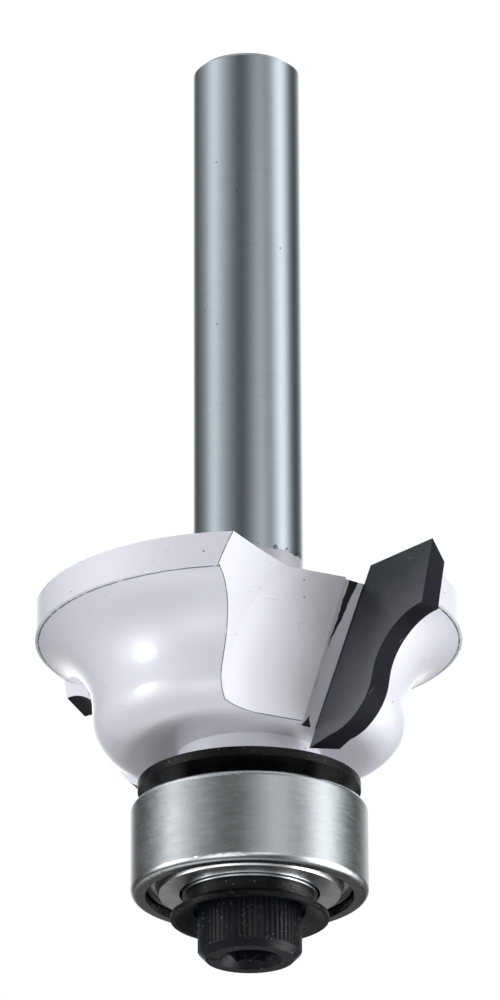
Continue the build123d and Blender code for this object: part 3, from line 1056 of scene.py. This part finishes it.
@dataclass(frozen=True)
class Studio:
    """Camera, floor and a world of soft lamps, brightest at the part's two sides."""

    camera_distance: float = 307.2 * MM
    camera_below: float = 22.65
    camera_roll: float = -0.216
    camera_aim: Vector = Vector((0.096 * MM, 0.0, 26.37 * MM))
    focal_pixels: float = 5611.0
    picture_height: float = 1000.0
    sensor: float = 36.0
    clip_start: float = 0.01
    floor_half: float = 0.6
    floor_colour: Colour = (0.8, 0.8, 0.8)
    floor_glow: float = 0.25
    white: Colour = (1.0, 1.0, 1.0)
    ambient: float = 0.04
    left_spot: SoftLamp = SoftLamp(-78.0, 0.5, 22.0, 180.0)
    left_box: SoftLamp = SoftLamp(-79.0, -9.0, 4.1, 24.0)
    right_box: SoftLamp = SoftLamp(79.0, -8.0, 8.4, 24.0)
    low_right: SoftLamp = SoftLamp(98.0, -30.0, 5.4, 16.0)
    low_left: SoftLamp = SoftLamp(-33.0, -30.0, 2.3, 16.0)
    low_back: SoftLamp = SoftLamp(-154.0, -55.0, 1.4, 14.0)
    front: SoftLamp = SoftLamp(11.0, -8.0, 1.75, 24.0)
    front_right: SoftLamp = SoftLamp(30.0, 12.0, 0.8, 28.0)
    high_left: SoftLamp = SoftLamp(-75.0, 33.0, 0.92, 18.0)
    high_front_left: SoftLamp = SoftLamp(-45.0, 33.0, 0.38, 18.0)
    high_front_right: SoftLamp = SoftLamp(15.0, 33.0, 0.28, 18.0)
    high_right: SoftLamp = SoftLamp(75.0, 33.0, 1.54, 18.0)
    back_left: SoftLamp = SoftLamp(-170.0, 12.0, 1.48, 28.0)
    high_back: SoftLamp = SoftLamp(165.0, 33.0, 1.58, 18.0)
    top_left: SoftLamp = SoftLamp(-103.0, 58.0, 2.26, 14.0)
    top: SoftLamp = SoftLamp(60.0, 80.0, 1.0, 14.0)

    @property
    def lamps(self) -> list[SoftLamp]:
        """All the soft lamps."""
        return [value for value in vars(self).values() if isinstance(value, SoftLamp)]

    def build_camera(self) -> None:
        """Puts the camera below the part, looking up at it."""
        below = math.radians(self.camera_below)
        forward = Vector((0.0, math.cos(below), math.sin(below)))
        data = bpy.data.cameras.new("camera")
        data.sensor_width = self.sensor
        data.lens = self.focal_pixels * self.sensor / self.picture_height
        data.clip_start = self.clip_start
        camera = bpy.data.objects.new("camera", data)
        camera.location = self.camera_aim - forward * self.camera_distance
        camera.rotation_euler = (math.pi / 2 + below, 0.0, 0.0)
        camera.rotation_euler.rotate_axis("Z", math.radians(self.camera_roll))
        bpy.context.collection.objects.link(camera)
        bpy.context.scene.camera = camera
        LOG.info("%s looks up at the part", camera.name)

    def lamp_group(self) -> bpy.types.NodeTree:
        """A group that gives a lamp's light in a direction."""
        tree = bpy.data.node_groups.new("soft_lamp", "ShaderNodeTree")
        tree.interface.new_socket("Direction", in_out="INPUT", socket_type="NodeSocketVector")
        tree.interface.new_socket("Toward", in_out="INPUT", socket_type="NodeSocketVector")
        for label in ("Sharpness", "Strength"):
            tree.interface.new_socket(label, in_out="INPUT", socket_type="NodeSocketFloat")
        tree.interface.new_socket("Light", in_out="OUTPUT", socket_type="NodeSocketFloat")
        nodes = Nodes(tree)
        source = nodes.add("NodeGroupInput").outputs
        near = nodes.dot(source["Direction"], source["Toward"])
        power = nodes.product(nodes.math("SUBTRACT", near, 1.0), source["Sharpness"])
        light = nodes.product(nodes.math("EXPONENT", power), source["Strength"])
        nodes.feed(nodes.add("NodeGroupOutput").inputs["Light"], light)
        return tree

    def build_world(self) -> None:
        """Lights the part from the soft lamps, and shows the camera plain white."""
        world = bpy.data.worlds.new("studio")
        bpy.context.scene.world = world
        world.use_nodes = True
        nodes = Nodes(world.node_tree)
        direction = nodes.add("ShaderNodeTexCoord").outputs["Generated"]
        soft_lamp = self.lamp_group()
        light: object = self.ambient
        for lamp in self.lamps:
            values = (direction, lamp.direction, lamp.sharpness, lamp.strength)
            light = nodes.math("ADD", nodes.group(soft_lamp, *values), light)
        seen = nodes.add("ShaderNodeLightPath").outputs["Is Camera Ray"]
        background = world.node_tree.nodes["Background"]
        nodes.feed(background.inputs["Color"], nodes.mix(seen, light, opaque(self.white)))

    def build_floor(self) -> None:
        """Adds a plain pale floor that is seen from above only."""
        mesh = bpy.data.meshes.new("floor")
        half = self.floor_half
        corners = [(-half, -half, 0.0), (half, -half, 0.0), (half, half, 0.0), (-half, half, 0.0)]
        mesh.from_pydata(corners, [], [(0, 1, 2, 3)])
        floor = bpy.data.objects.new("floor", mesh)
        bpy.context.collection.objects.link(floor)
        material = bpy.data.materials.new("floor")
        material.use_nodes = True
        nodes = Nodes(material.node_tree)
        nodes.tree.nodes.remove(nodes.tree.nodes["Principled BSDF"])
        diffuse = nodes.add("ShaderNodeBsdfDiffuse", {"Color": opaque(self.floor_colour)}).outputs[0]
        glow_inputs = {"Color": opaque(self.white), "Strength": self.floor_glow}
        glow = nodes.add("ShaderNodeEmission", glow_inputs).outputs[0]
        lit = nodes.add("ShaderNodeAddShader", {0: diffuse, 1: glow}).outputs[0]
        clear = nodes.add("ShaderNodeBsdfTransparent").outputs[0]
        behind = nodes.add("ShaderNodeNewGeometry").outputs["Backfacing"]
        seen = nodes.add("ShaderNodeLightPath").outputs["Is Camera Ray"]
        shown = nodes.product(seen, nodes.inverse(behind))
        mixed = nodes.add("ShaderNodeMixShader", {0: shown, 1: clear, 2: lit}).outputs[0]
        nodes.feed(nodes.tree.nodes["Material Output"].inputs["Surface"], mixed)
        mesh.materials.append(material)
        LOG.info("%s lies under the part", floor.name)

    def build(self) -> None:
        """Builds the whole studio."""
        bpy.context.scene.view_settings.view_transform = "Standard"
        self.build_camera()
        self.build_world()
        self.build_floor()


# --------------------------------------------------
# Assembly
# --------------------------------------------------


def main() -> None:
    """Builds the classes in order and reports each piece."""
    logging.basicConfig(level=logging.INFO, format="%(message)s")
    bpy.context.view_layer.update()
    Studio().build()
    effects = Effects()
    Cutter().dress(effects)
    GuideBearing().dress(effects)
    ScrewAndWashers().build(effects)


if __name__ == "__main__":
    main()
